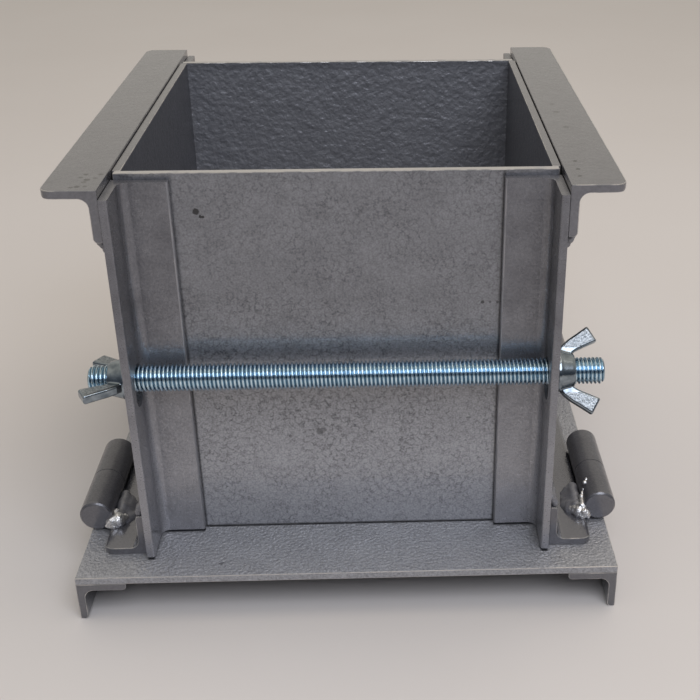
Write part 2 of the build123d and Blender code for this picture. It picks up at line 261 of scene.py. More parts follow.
# Marks in the lacquer (across, back, height, radius, darkness): bare specks on the front panel, shallow
# dents on the handles and base plate. The panels also have a line of painted shade where the clamp angles'
# toes and the base plate meet the sheet, and the base plate has a painted contact shadow wherever a panel,
# angle or wall stands.
marks = {
    "colour": "#1b1b20", "ragged": 0.9, "core": 0.75, "rim": 1.1,
    "paintedShade": 0.75, "paintedShadeWide": 0.8, "paintedShadeCore": 0.3,
    "paintedShadeTop": (0.25, 0.9), "paintedShadeRise": (80, 130),  # what is left of it up there, from left to right
    # where each foot's line is from the middle, and half its width
    "footShadow": 0.85, "panelFoot": (78.0, 0.9), "clampFoot": (80.3, 1.4), "wallFoot": (76.5, 1.8),
    "wallEnd": 98.6,
    "base": ((-49.2, -102.0, 19.5, 0.9, 0.5), (-48.6, -101.3, 19.5, 0.7, 0.4)),
    "panel": ((-49.9, -78, 155.2, 1.25, 1.0), (-48.5, -78, 153.3, 0.6, 1.0), (-47.7, -78, 153.2, 0.6, 1.0),
              (-10.4, -78, 63.6, 1.5, 0.55), (-8.8, -78, 64.2, 1.1, 0.5), (-22.0, -78, 61.7, 0.7, 0.5),
              (51.4, -78, 118.4, 0.7, 0.8), (54.2, -78, 118.4, 0.5, 0.6), (57.0, -78, 118.3, 0.6, 0.7),
              (9.7, -78, 63.0, 0.55, 0.5)),
    "handles": ((-85.1, -81.2, 170.5, 1.0, 0.7), (-86.2, -84.3, 170.5, 0.9, 0.6),
                (-83.6, -86.6, 170.5, 1.2, 0.75), (-84.1, -88.9, 170.5, 0.9, 0.7),
                (-85.3, -93.3, 170.5, 1.1, 0.75), (-87.2, -94.0, 170.5, 0.8, 0.7),
                (-82.8, -93.0, 170.5, 0.8, 0.6), (-81.1, -85.2, 170.5, 0.9, 0.55),
                (-80.1, -81.4, 170.5, 1.0, 0.7), (83.2, -73.0, 170.5, 0.9, 0.95),
                (82.9, -81.4, 170.5, 0.9, 0.95), (82.4, -88.5, 170.5, 0.8, 0.8),
                (84.9, -1.7, 170.5, 1.2, 0.55), (85.0, -13.1, 170.5, 1.4, 0.6),
                (86.0, -33.2, 170.5, 1.2, 0.55)),
}
toeX = abs(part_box("front_left_clamp_angle")[1].x)
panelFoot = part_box("front_panel")[0].z


def paintedShadeLine(tree, where):  # painted shade beside the clamp angles' toes and along the panel's foot, weaker up high, more so on the left
    place = addNode(tree, "ShaderNodeSeparateXYZ", {0: where})
    across = place.outputs["X"]
    height = place.outputs["Z"]
    fromToe = addNode(tree, "ShaderNodeMath", {0: across}, operation="ABSOLUTE")
    fromToe = addNode(tree, "ShaderNodeMath", {0: fromToe, 1: toeX}, operation="SUBTRACT")
    fromToe = addNode(tree, "ShaderNodeMath", {0: fromToe}, operation="ABSOLUTE")
    fromFoot = addNode(tree, "ShaderNodeMath", {0: height, 1: panelFoot}, operation="SUBTRACT")
    line = addNode(tree, "ShaderNodeMath", {0: fromToe, 1: fromFoot}, operation="MINIMUM")
    wide = marks["paintedShadeWide"] * mm
    dark = addNode(tree, "ShaderNodeMapRange", {
        "Value": line, fromSpan: (marks["paintedShadeCore"] * wide, wide), toSpan: (marks["paintedShade"], 0.0)})
    topShare = addNode(tree, "ShaderNodeMapRange", {
        "Value": across, fromSpan: (-toeX, toeX), toSpan: marks["paintedShadeTop"]})
    less = addNode(tree, "ShaderNodeMapRange", {
        "Value": height, fromSpan: [level * mm for level in marks["paintedShadeRise"]], toSpan: (1.0, topShare)})
    return addNode(tree, "ShaderNodeMath", {0: dark, 1: less}, operation="MULTIPLY")


def paintedShadowBand(tree, distance, line):  # painted shadow within a line's half width, fading over its outer half
    middle, half = line
    off = addNode(tree, "ShaderNodeMath", {0: distance, 1: middle * mm}, operation="SUBTRACT")
    off = addNode(tree, "ShaderNodeMath", {0: off}, operation="ABSOLUTE")
    return addNode(tree, "ShaderNodeMapRange", {
        "Value": off, fromSpan: (half / 2 * mm, half * mm), toSpan: (marks["footShadow"], 0.0)})


def paintedFootShadow(tree, where):  # painted contact shadow on the base plate under panels, clamp angles and walls
    wallX = marks["wallFoot"][0] * mm
    wallEnd = marks["wallEnd"] * mm
    place = addNode(tree, "ShaderNodeSeparateXYZ", {0: where})
    across = addNode(tree, "ShaderNodeMath", {0: place.outputs["X"]}, operation="ABSOLUTE")
    along = addNode(tree, "ShaderNodeMath", {0: place.outputs["Y"]}, operation="ABSOLUTE")
    pastToe = addNode(tree, "ShaderNodeMath", {0: across, 1: toeX}, operation="GREATER_THAN")
    withinWall = addNode(tree, "ShaderNodeMath", {0: across, 1: wallX}, operation="LESS_THAN")
    withinEnd = addNode(tree, "ShaderNodeMath", {0: along, 1: wallEnd}, operation="LESS_THAN")
    panelDark = paintedShadowBand(tree, along, marks["panelFoot"])
    clampDark = paintedShadowBand(tree, along, marks["clampFoot"])
    wallDark = paintedShadowBand(tree, across, marks["wallFoot"])
    front = addNode(tree, "ShaderNodeMix", {0: pastToe, 2: panelDark, 3: clampDark})
    front = addNode(tree, "ShaderNodeMath", {0: front, 1: withinWall}, operation="MULTIPLY")
    wall = addNode(tree, "ShaderNodeMath", {0: wallDark, 1: withinEnd}, operation="MULTIPLY")
    return addNode(tree, "ShaderNodeMath", {0: front, 1: wall}, operation="MAXIMUM")


def addMarks(tree, where, flake, colour, kind):
    ragged = addNode(tree, "ShaderNodeVectorMath", {
        0: flake.outputs["Color"], 1: (marks["ragged"] * mm,) * 3}, operation="MULTIPLY")
    nearby = addNode(tree, "ShaderNodeVectorMath", {0: where, 1: ragged}, operation="ADD")
    moved = Vector((0.5, 0.5, 0.5)) * marks["ragged"]  # how far the noise moves a point on average
    lines = {"panel": paintedShadeLine, "base": paintedFootShadow}
    # the painted shade along the joins comes first, then the dark specks and dents are laid over it
    bare = lines[kind](tree, where) if kind in lines else None
    for across, back, up, radius, depth in marks[kind]:
        spot = (Vector((across, back, up)) + moved) * mm
        far = addNode(tree, "ShaderNodeVectorMath", {0: nearby, 1: spot}, operation="DISTANCE")
        speck = addNode(tree, "ShaderNodeMapRange", {
            "Value": far.outputs["Value"], toSpan: (depth, 0.0),
            fromSpan: (radius * marks["core"] * mm, radius * marks["rim"] * mm)})
        if bare:
            speck = addNode(tree, "ShaderNodeMath", {0: bare, 1: speck}, operation="MAXIMUM")
        bare = speck
    return addNode(tree, "ShaderNodeMix", {
        0: bare, 6: colour.outputs[2], 7: fromHex(marks["colour"])}, data_type="RGBA")


def hammerEnamel(name, look):
    material, tree, shader, where = newMaterial(name)
    grain = enamelGrain
    cell = look["cell"]
    lumpSize, lumpDepth = look["lump"]
    driftSize, driftDetail = grain["drift"]
    noiseForms = ((cell * driftSize, driftDetail), grain["mottle"], grain["patch"], grain["flake"],
                  (lumpSize, grain["lumpDetail"]))
    drift, mottle, patch, flake, lumps = [
        addNode(tree, "ShaderNodeTexNoise", {"Vector": where, "Scale": perMm(size), "Detail": detail})
        for size, detail in noiseForms]
    pulled = addNode(tree, "ShaderNodeVectorMath", {
        0: drift.outputs["Color"], 1: (cell * grain["pull"] * mm,) * 3}, operation="MULTIPLY")
    warped = addNode(tree, "ShaderNodeVectorMath", {0: where, 1: pulled}, operation="ADD")
    cells = addNode(tree, "ShaderNodeTexVoronoi", {"Vector": warped, "Scale": perMm(cell)},
                    feature="DISTANCE_TO_EDGE")
    seams = addNode(tree, "ShaderNodeMapRange", {
        "Value": cells.outputs["Distance"], fromSpan: (0.0, grain["seamWide"]),
        toSpan: (look["seam"], 0.0)})
    patchy = addNode(tree, "ShaderNodeMapRange", {
        "Value": patch, fromSpan: grain["patchSpan"], toSpan: grain["patchShare"]})
    broken = addNode(tree, "ShaderNodeMapRange", {
        "Value": lumps, fromSpan: grain["lumpSpan"], toSpan: grain["lumpShare"]})
    mottled = addNode(tree, "ShaderNodeMapRange", {
        "Value": mottle, fromSpan: grain["mottleSpan"], toSpan: (0.0, look["mottle"])})
    flecks = addNode(tree, "ShaderNodeMapRange", {
        "Value": flake, fromSpan: grain["flakeSpan"], toSpan: (0.0, look["fleck"])})
    veins = addNode(tree, "ShaderNodeMath", {0: seams, 1: patchy}, operation="MULTIPLY")
    veins = addNode(tree, "ShaderNodeMath", {0: veins, 1: broken}, operation="MULTIPLY")
    shade = addNode(tree, "ShaderNodeMath", {0: veins, 1: flecks}, operation="ADD")
    if look["topShade"]:  # painted shade: darker towards the top, with a weaker pattern up there too
        height = addNode(tree, "ShaderNodeSeparateXYZ", {0: where}).outputs["Z"]
        weak = addNode(tree, "ShaderNodeMapRange", {
            "Value": height, fromSpan: [level * mm for level in grain["weakRise"]],
            toSpan: (1.0, grain["weakest"])})
        topShade = addNode(tree, "ShaderNodeMapRange", {
            "Value": height, fromSpan: [level * mm for level in grain["topShadeRise"]],
            toSpan: (0.0, look["topShade"])})
        shade = addNode(tree, "ShaderNodeMath", {0: shade, 1: weak}, operation="MULTIPLY")
        shade = addNode(tree, "ShaderNodeMath", {0: shade, 1: topShade}, operation="ADD")
    shade = addNode(tree, "ShaderNodeMath", {0: shade, 1: mottled}, operation="ADD")
    if look["pits"]:  # a few pinholes, half a millimetre across
        pitAt = addNode(tree, "ShaderNodeTexVoronoi", {
            "Vector": where, "Scale": perMm(grain["pitSpacing"])})
        kept = addNode(tree, "ShaderNodeSeparateColor", {0: pitAt.outputs["Color"]})
        kept = addNode(tree, "ShaderNodeMapRange", {
            "Value": kept, fromSpan: grain["pitKept"], toSpan: (0.0, look["pits"])})
        hole = addNode(tree, "ShaderNodeMapRange", {
            "Value": pitAt.outputs["Distance"], fromSpan: grain["pitWide"], toSpan: (1.0, 0.0)})
        hole = addNode(tree, "ShaderNodeMath", {0: hole, 1: kept}, operation="MULTIPLY")
        shade = addNode(tree, "ShaderNodeMath", {0: shade, 1: hole}, operation="ADD")
    colour = addNode(tree, "ShaderNodeMix", {
        0: shade, 6: fromHex(look["light"]), 7: fromHex(look["dark"])}, data_type="RGBA")
    if look["marked"]:
        colour = addMarks(tree, where, flake, colour, look["marked"])
    gloss = addNode(tree, "ShaderNodeMapRange", {
        "Value": flake, fromSpan: grain["flakeSpan"], toSpan: look["roughness"]})
    swell = addNode(tree, "ShaderNodeBump", {
        "Height": lumps, "Strength": 1.0, "Distance": lumpDepth * grain["lumpBump"] * mm})
    fine = addNode(tree, "ShaderNodeBump", {
        "Height": flake, "Strength": grain["flakeBump"], "Distance": grain["flakeDepth"] * mm,
        "Normal": swell})
    tree.links.new(colour.outputs[2], shader.inputs["Base Color"])
    tree.links.new(gloss.outputs[0], shader.inputs["Roughness"])
    tree.links.new(fine.outputs[0], shader.inputs["Normal"])
    if look["wetLumps"]:
        tree.links.new(swell.outputs[0], shader.inputs["Coat Normal"])
    shader.inputs["Metallic"].default_value = look["metal"]
    shader.inputs["Coat Weight"].default_value, shader.inputs["Coat Roughness"].default_value = look["coat"]
    return material


# Rubbed edge: the lacquer is thin or gone along handled edges, so broken lines of brighter steel show.
# The toe look is a painted highlight on the clamp angles' rounded toes.
rubbedLooks = {
    "rubbedEdge": {"paint": "#8a8989", "steel": "#bcb9b6", "share": 0.42, "patch": 6},
    "toePaintedHighlight": {"paint": "#858589", "steel": "#9c9ca0", "share": 0.45, "patch": 8},
    # the rim look, on the panels' top faces and the base plate's edges, is partly wear and partly painted
    # highlight
    "wornRimAndHighlight": {"paint": "#a1a0a1", "steel": "#c6c4c3", "share": 0.75, "patch": 9},
}
rubbedGrain = {"patchDetail": 4, "bare": (0.62, 0.72), "bareMore": 0.4, "metal": (0.35, 0.8),
               "scratch": (0.8, 3), "scratchDepth": 0.03, "scratchBump": 0.5, "roughness": (0.28, 0.48)}


def rubbedEdge(name, look):
    material, tree, shader, where = newMaterial(name)
    grain = rubbedGrain
    scratchSize, scratchDetail = grain["scratch"]
    patch = addNode(tree, "ShaderNodeTexNoise", {
        "Vector": where, "Scale": perMm(look["patch"]), "Detail": grain["patchDetail"]})
    bareSpan = [level - look["share"] * grain["bareMore"] for level in grain["bare"]]
    bare = addNode(tree, "ShaderNodeMapRange", {"Value": patch, fromSpan: bareSpan, toSpan: (0.0, 1.0)})
    colour = addNode(tree, "ShaderNodeMix", {
        0: bare, 6: fromHex(look["paint"]), 7: fromHex(look["steel"])}, data_type="RGBA")
    metal = addNode(tree, "ShaderNodeMapRange", {"Value": bare, toSpan: grain["metal"]})
    scratch = addNode(tree, "ShaderNodeTexNoise", {
        "Vector": where, "Scale": perMm(scratchSize), "Detail": scratchDetail})
    gloss = addNode(tree, "ShaderNodeMapRange", {"Value": scratch, toSpan: grain["roughness"]})
    bump = addNode(tree, "ShaderNodeBump", {
        "Height": scratch, "Strength": grain["scratchBump"], "Distance": grain["scratchDepth"] * mm})
    tree.links.new(colour.outputs[2], shader.inputs["Base Color"])
    tree.links.new(metal.outputs[0], shader.inputs["Metallic"])
    tree.links.new(gloss.outputs[0], shader.inputs["Roughness"])
    tree.links.new(bump.outputs[0], shader.inputs["Normal"])
    return material


# Bright metals: blue-passivated zinc plate on the rods and nuts, gritty on the nuts' cast wing faces,
# bare weld metal, oiled pin steel.
metalLooks = {
    "zincThread": {"light": "#d8ebf6", "dark": "#adcadd", "patch": 2.5, "grain": 0.35, "depth": 0.01,
                   "roughness": (0.14, 0.24), "rootsOilAndShade": "#7696ab"},
    # the hub and the wings' rounded rims: darker zinc than the wing faces, painted shade for the dark they
    # mirror
    "zincNutPaintedShade": {"light": "#959ea5", "dark": "#616b74", "patch": 3.0, "grain": 0.8, "depth": 0.015,
                "roughness": (0.12, 0.22), "rootsOilAndShade": None},
    "zincGrit": {"light": "#b0b6bb", "dark": "#596269", "patch": 0.5, "grain": 0.5, "depth": 0.30,
                 "roughness": (0.34, 0.52), "rootsOilAndShade": None},
    "bareWeld": {"light": "#f0f0f1", "dark": "#b4b6b9", "patch": 1.0, "grain": 0.5, "depth": 0.26,
                 "roughness": (0.26, 0.44), "rootsOilAndShade": None},
    "pinSteel": {"light": "#a5a29c", "dark": "#6d6862", "patch": 3.0, "grain": 0.5, "depth": 0.02,
                 "roughness": (0.25, 0.4), "rootsOilAndShade": None},
}
metalGrain = {"patchDetail": 4, "grainDetail": 3, "blotch": (0.4, 0.75), "gloss": (0.3, 0.7), "bump": 0.8,
              "rootsOilAndShade": (4.2, 4.6)}  # out from the rod's axis
rodLow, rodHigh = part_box("front_rod")
rodAxis = (abs(rodLow.y + rodHigh.y) / 2, (rodLow.z + rodHigh.z) / 2)


def brightMetal(name, look):
    material, tree, shader, where = newMaterial(name)
    patch = addNode(tree, "ShaderNodeTexNoise", {
        "Vector": where, "Scale": perMm(look["patch"]), "Detail": metalGrain["patchDetail"]})
    grain = addNode(tree, "ShaderNodeTexNoise", {
        "Vector": where, "Scale": perMm(look["grain"]), "Detail": metalGrain["grainDetail"]})
    blotch = addNode(tree, "ShaderNodeMapRange", {"Value": patch, fromSpan: metalGrain["blotch"]})
    colour = addNode(tree, "ShaderNodeMix", {
        0: blotch, 6: fromHex(look["light"]), 7: fromHex(look["dark"])}, data_type="RGBA")
    if look["rootsOilAndShade"]:  # darker in the thread's roots: oil and the darker blue of the passivation, and painted shade in the recesses
        place = addNode(tree, "ShaderNodeSeparateXYZ", {0: where})
        depthY = addNode(tree, "ShaderNodeMath", {0: place.outputs["Y"]}, operation="ABSOLUTE")
        depthY = addNode(tree, "ShaderNodeMath", {0: depthY, 1: rodAxis[0]}, operation="SUBTRACT")
        depthZ = addNode(tree, "ShaderNodeMath", {
            0: place.outputs["Z"], 1: rodAxis[1]}, operation="SUBTRACT")
        reach = addNode(tree, "ShaderNodeCombineXYZ", {"Y": depthY, "Z": depthZ})
        reach = addNode(tree, "ShaderNodeVectorMath", {0: reach}, operation="LENGTH")
        rootOilAndShade = addNode(tree, "ShaderNodeMapRange", {
            "Value": reach.outputs["Value"], fromSpan: [out * mm for out in metalGrain["rootsOilAndShade"]],
            toSpan: (1.0, 0.0)})
        colour = addNode(tree, "ShaderNodeMix", {
            0: rootOilAndShade, 6: colour.outputs[2], 7: fromHex(look["rootsOilAndShade"])}, data_type="RGBA")
    gloss = addNode(tree, "ShaderNodeMapRange", {
        "Value": patch, fromSpan: metalGrain["gloss"], toSpan: look["roughness"]})
    bump = addNode(tree, "ShaderNodeBump", {
        "Height": grain, "Strength": metalGrain["bump"], "Distance": look["depth"] * mm})
    tree.links.new(colour.outputs[2], shader.inputs["Base Color"])
    tree.links.new(gloss.outputs[0], shader.inputs["Roughness"])
    tree.links.new(bump.outputs[0], shader.inputs["Normal"])
    shader.inputs["Metallic"].default_value = 1.0
    return material


finishes = {name: hammerEnamel(name, look) for name, look in enamelLooks.items()}
finishes.update({name: rubbedEdge(name, look) for name, look in rubbedLooks.items()})
finishes.update({name: brightMetal(name, look) for name, look in metalLooks.items()})
print("finishes:", ", ".join(finishes))


def dress(piece, *names):
    piece.data.materials.clear()
    for name in names:
        piece.data.materials.append(finishes[name])


# Plates: sheared sheet with broken edges, its broad faces cut into a fine grid and sunk a little by
# the relief of the lacquer.
plateForm = {"edge": 0.3, "edgeSteps": 2, "spacing": 1.4, "rimFade": 2.5, "thin": 10.0,
             "wholeEdge": 0.6, "halfEdge": 0.3, "flat": 0.99, "onFace": 0.001, "leastWeight": 0.01}
plateSlots = {"rub": 1, "face": 2, "top": 4}  # in the order that cutPlate dresses a plate
reliefForms = {
    "peel": {"kind": "CLOUDS", "size": 2.4, "depth": 0.9},
    "cells": {"kind": "CLOUDS", "size": 6.0, "depth": 0.02},
    "dimples": {"kind": "CLOUDS", "size": 1.8, "depth": 0.11},
    "streaks": {"kind": "CLOUDS", "size": 3.0, "depth": 0.25},
}
plates = {
    "frontPanelPlate": {"node": "front_panel", "body": "front_panel", "axis": 1,
                        "faces": {-1: ("panelEnamel", "cells"), 1: ("insideEnamel", "peel")},
                        "top": "wornRimAndHighlight", "edge": "angleEnamel", "rub": "rubbedEdge"},
    "rearPanelPlate": {"node": "rear_panel", "body": "rear_panel", "axis": 1,
                       "faces": {1: ("panelEnamel", "cells"), -1: ("insideEnamel", "peel")},
                       "top": "wornRimAndHighlight", "edge": "angleEnamel", "rub": "rubbedEdge"},
    "leftWallPlate": {"node": "left_wall", "body": "left_wall", "axis": 0,
                      "faces": {-1: ("panelEnamel", "cells"), 1: ("sidePaintedShadeEnamel", "streaks")},
                      "top": "angleEnamel", "edge": "angleEnamel", "rub": "rubbedEdge"},
    "rightWallPlate": {"node": "right_wall", "body": "right_wall", "axis": 0,
                       "faces": {1: ("panelEnamel", "cells"), -1: ("sidePaintedShadeEnamel", "streaks")},
                       "top": "angleEnamel", "edge": "angleEnamel", "rub": "rubbedEdge"},
    "basePlateSheet": {"node": "base_plate", "body": "base", "axis": 2,
                       "faces": {1: ("baseEnamel", "dimples"), -1: ("angleEnamel", "cells")},
                       "top": None, "edge": "baseEnamel", "rub": "wornRimAndHighlight"},
}
reliefTextures = {}
for reliefName, form in reliefForms.items():
    texture = bpy.data.textures.new(reliefName, form["kind"])
    texture.noise_scale = form["size"] * mm
    reliefTextures[reliefName] = texture


def cutPlate(name, plan):
    low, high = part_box(plan["node"])
    piece = addBox(name, low, high)
    faceNames = [look for look, relief in plan["faces"].values()]
    dress(piece, plan["edge"], plan["rub"], *faceNames, plan["top"] or plan["edge"])
    editAll(piece)
    bpy.ops.mesh.bevel(offset=plateForm["edge"] * mm, segments=plateForm["edgeSteps"], affect="EDGES",
                       material=plateSlots["rub"])
    for axis in range(3):
        run = high[axis] - low[axis]
        if run < plateForm["thin"] * mm:
            continue
        fineCuts = round(run / mm / plateForm["spacing"] / 2) - 1
        for share, cuts in ((plateForm["wholeEdge"], 1), (plateForm["halfEdge"], fineCuts)):
            pickEdges(piece, lambda edge: runOf(edge, axis) > share * run)
            bpy.ops.mesh.subdivide(number_cuts=cuts)
    bpy.ops.object.mode_set(mode="OBJECT")
    across = plan["axis"]
    for face in piece.data.polygons:
        for place, sign in enumerate(plan["faces"]):
            if face.normal[across] * sign > plateForm["flat"]:
                face.material_index = plateSlots["face"] + place
        if plan["top"] and face.normal.z > plateForm["flat"]:
            face.material_index = plateSlots["top"]
    inPlane = [axis for axis in range(3) if axis != across]
    for sign, (look, relief) in plan["faces"].items():
        group = piece.vertex_groups.new(name=relief)
        level = high[across] if sign > 0 else low[across]
        for vertex in piece.data.vertices:
            rim = min(min(vertex.co[axis] - low[axis], high[axis] - vertex.co[axis]) for axis in inPlane)
            weight = min(1.0, (rim / mm - plateForm["edge"]) / plateForm["rimFade"])
            onFace = abs(vertex.co[across] - level) < plateForm["onFace"] * mm
            if onFace and weight > plateForm["leastWeight"]:
                group.add([vertex.index], weight, "REPLACE")
        applyModifier(piece, "DISPLACE", texture=reliefTextures[relief], texture_coords="LOCAL",
                      vertex_group=relief, mid_level=0.0, strength=-reliefForms[relief]["depth"] * mm)
    piece.vertex_groups.clear()
    smoothShade(piece)
    mount(piece, plan["body"], plan["node"])


for plateName, plan in plates.items():
    cutPlate(plateName, plan)
print("plates:", len(plates))

# Rolled angles and hinge barrels: the CAD sections with their edges broken, the broken edge rubbed.
angleForm = {"edge": 0.3, "barrelEdge": 0.18, "edgeSteps": 2, "sharperThan": 38, "toe": 1.0,
             "handleFrom": 78.6, "handleTo": 78.25, "gapTo": 79.0, "endFlat": 0.95, "slant": 0.2}
angleSlots = {"paint": 0, "rub": 1, "toe": 2}
angles = {}
for side in sides:
    angles[side + "HandleAngle"] = (side + "_handle", side + "_wall")
    angles[side + "RailAngle"] = (side + "_rail", side + "_wall")
    angles[side + "FootAngle"] = (side + "_foot", "base")
for end, side in corners:
    corner = end + side.capitalize()
    angles[corner + "ClampAngle"] = (f"{end}_{side}_clamp_angle", side + "_wall")
    angles[corner + "SocketBarrel"] = (f"{end}_{side}_hinge_socket", side + "_wall")
    angles[corner + "BaseBarrel"] = (f"{end}_{side}_hinge_base", "base")
for angleName, (node, body) in angles.items():
    piece = nodeCopy(node, angleName)
    barrel = angleName.endswith("Barrel")
    clamp = angleName.endswith("ClampAngle")
    # barrel sides take the darker enamel as painted shade; their end faces keep the angle enamel
    if barrel:
        dress(piece, "barrelPaintedShadeEnamel", "angleEnamel")
    else:
        dress(piece, "clampPaintedLightEnamel" if clamp else "angleEnamel", "rubbedEdge", "toePaintedHighlight")
    for face in piece.data.polygons:
        if barrel and abs(face.normal.y) > angleForm["endFlat"]:
            face.material_index = angleSlots["rub"]
        # the rounded toes of the clamp angles take the painted highlight
        slanted = min(abs(face.normal.x), abs(face.normal.y)) > angleForm["slant"]
        if clamp and slanted and abs(face.center.x) - toeX < angleForm["toe"] * mm:
            face.material_index = angleSlots["toe"]
    if angleName.endswith("HandleAngle"):  # the lacquer all but closes the gap to the wall
        for vertex in piece.data.vertices:
            if abs(vertex.co.x) < angleForm["handleFrom"] * mm:
                vertex.co.x = math.copysign(angleForm["handleTo"] * mm, vertex.co.x)
    applyModifier(piece, "BEVEL", width=angleForm["barrelEdge" if barrel else "edge"] * mm,
                  segments=angleForm["edgeSteps"], limit_method="ANGLE",
                  angle_limit=math.radians(angleForm["sharperThan"]), material=angleSlots["rub"])
    if body != "base" and not barrel and not clamp:  # no hand rubs the edges in the gap beside the wall
        for face in piece.data.polygons:
            inGap = abs(face.center.x) < angleForm["gapTo"] * mm
            if inGap and face.material_index == angleSlots["rub"]:
                face.material_index = angleSlots["paint"]
    smoothShade(piece)
    mount(piece, body, node)
print("angles and barrels:", len(angles))

# Threaded rods: one turn of an M10 profile screwed along the rod, cut square and chamfered at the ends.
threadForm = {"pitch": 1.5, "crest": 5.0, "chamfer": 0.9, "steps": 32, "lead": 1.5, "spareTurns": 3,
              "screwMerge": 0.002, "merge": 0.001,
              # along one pitch, and out from the axis
              "profile": ((0.0, 4.12), (0.14, 4.12), (0.40, 4.58), (0.54, 4.87), (0.70, 4.98), (0.82, 5.0),
                          (0.94, 4.98), (1.10, 4.87), (1.24, 4.58), (1.5, 4.12))}


def cutThread(name, node):
    low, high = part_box(node)
    axisY, axisZ = (low.y + high.y) / 2, (low.z + high.z) / 2
    pitch = threadForm["pitch"]
    merge = threadForm["merge"] * mm
    piece = drawLine(name, [(along, 0, out) for along, out in threadForm["profile"]])
    bpy.ops.object.mode_set(mode="OBJECT")
    turns = math.ceil((high.x - low.x) / mm / pitch) + threadForm["spareTurns"]
    applyModifier(piece, "SCREW", axis="X", screw_offset=pitch * mm, iterations=turns,
                  steps=threadForm["steps"], render_steps=threadForm["steps"],
                  use_merge_vertices=True, merge_threshold=threadForm["screwMerge"] * mm)
    editAll(piece)
    bpy.ops.transform.translate(value=(low.x - threadForm["lead"] * pitch * mm, axisY, axisZ))
    for level, normal in ((low.x, (-1, 0, 0)), (high.x, (1, 0, 0))):
        bpy.ops.mesh.select_all(action="SELECT")
        bpy.ops.mesh.bisect(plane_co=(level, axisY, axisZ), plane_no=normal, use_fill=True,
                            clear_outer=True, threshold=merge)
    bpy.ops.mesh.select_all(action="SELECT")
    bpy.ops.mesh.remove_doubles(threshold=merge)
    bpy.ops.mesh.normals_make_consistent(inside=False)
    bpy.ops.object.mode_set(mode="OBJECT")
    for vertex in piece.data.vertices:  # chamfer: the crests fall away over the last turn
        fromEnd = min(vertex.co.x - low.x, high.x - vertex.co.x)
        limit = threadForm["crest"] * mm - max(0.0, threadForm["chamfer"] * mm - fromEnd)
        reach = math.hypot(vertex.co.y - axisY, vertex.co.z - axisZ)
        if reach > limit:
            vertex.co.y = axisY + (vertex.co.y - axisY) * limit / reach
            vertex.co.z = axisZ + (vertex.co.z - axisZ) * limit / reach
    dress(piece, "zincThread")
    smoothShade(piece, "turned")
    mount(piece, node, node)


for end in ends:
    cutThread(end + "RodThread", end + "_rod")
print("rods threaded")

# Wing nuts: a spun hub and two bevelled wings, run together as one casting. One is modelled upright
# on its seat and copied to each rod end at its own turn.
nutForm = {
    # along the axis from the seat, and out from it
    "hub": [(0.0, 5.8), (0.0, 7.2), (0.4, 7.6), (1.4, 7.7), (2.2, 7.4), (6.0, 6.5), (6.8, 6.2), (7.0, 5.9),
            (7.0, 5.7), (6.6, 5.3), (0.5, 5.3)],
    "wing": [(1.6, 5.9), (1.2, 7.4), (2.6, 9.4), (5.2, 11.6), (8.4, 13.7), (12.2, 16.3), (12.9, 16.5),
             (16.0, 11.2), (15.7, 10.6), (11.0, 8.6), (8.0, 7.2), (6.2, 5.9)],
    "seat": 78.0, "hubSteps": 56, "merge": 0.005,
    "wingThick": 3.6, "wingEdge": 0.8, "wingEdgeSteps": 2, "outline": 0.1,
    "voxel": 0.25, "soften": 3, "softness": 0.5, "gritFlat": 0.97, "gritFrom": 8.5,
}
nutTurns = {("front", "left"): -88.0, ("front", "right"): 42.0,  # degrees
            ("rear", "left"): 24.0, ("rear", "right"): -58.0}


def castNut():
    hub = drawLine("nutHub", [(along, 0, out) for along, out in nutForm["hub"]], closed=True)
    bpy.ops.mesh.delete(type="ONLY_FACE")
    bpy.ops.mesh.select_all(action="SELECT")
    bpy.ops.mesh.spin(steps=nutForm["hubSteps"], angle=2 * math.pi, center=(0, 0, 0), axis=(1, 0, 0))
    bpy.ops.mesh.select_all(action="SELECT")
    bpy.ops.mesh.remove_doubles(threshold=nutForm["merge"] * mm)
    bpy.ops.mesh.normals_make_consistent(inside=False)
    parts = [hub]
    thick = nutForm["wingThick"]
    for way in (1, -1):
        outline = [(along, -thick / 2, way * out) for along, out in nutForm["wing"]]
        wing = drawLine("nutWing", outline, closed=True)
        bpy.ops.mesh.extrude_region_move(TRANSFORM_OT_translate={"value": (0, thick * mm, 0)})
        bpy.ops.mesh.select_all(action="SELECT")
        bpy.ops.mesh.normals_make_consistent(inside=False)
        pickEdges(wing, lambda edge: runOf(edge, 1) < nutForm["outline"] * mm)
        bpy.ops.mesh.bevel(offset=nutForm["wingEdge"] * mm, segments=nutForm["wingEdgeSteps"],
                           affect="EDGES")
        bpy.ops.object.mode_set(mode="OBJECT")
        parts.append(wing)
    nut = joinAll("nutMaster", parts)
    applyModifier(nut, "REMESH", mode="VOXEL", voxel_size=nutForm["voxel"] * mm)
    applyModifier(nut, "SMOOTH", factor=nutForm["softness"], iterations=nutForm["soften"])
    dress(nut, "zincNutPaintedShade", "zincGrit")
    for face in nut.data.polygons:
        flat = abs(face.normal.y) > nutForm["gritFlat"]
        if flat and abs(face.center.z) > nutForm["gritFrom"] * mm:
            face.material_index = 1  # zincGrit
    return nut


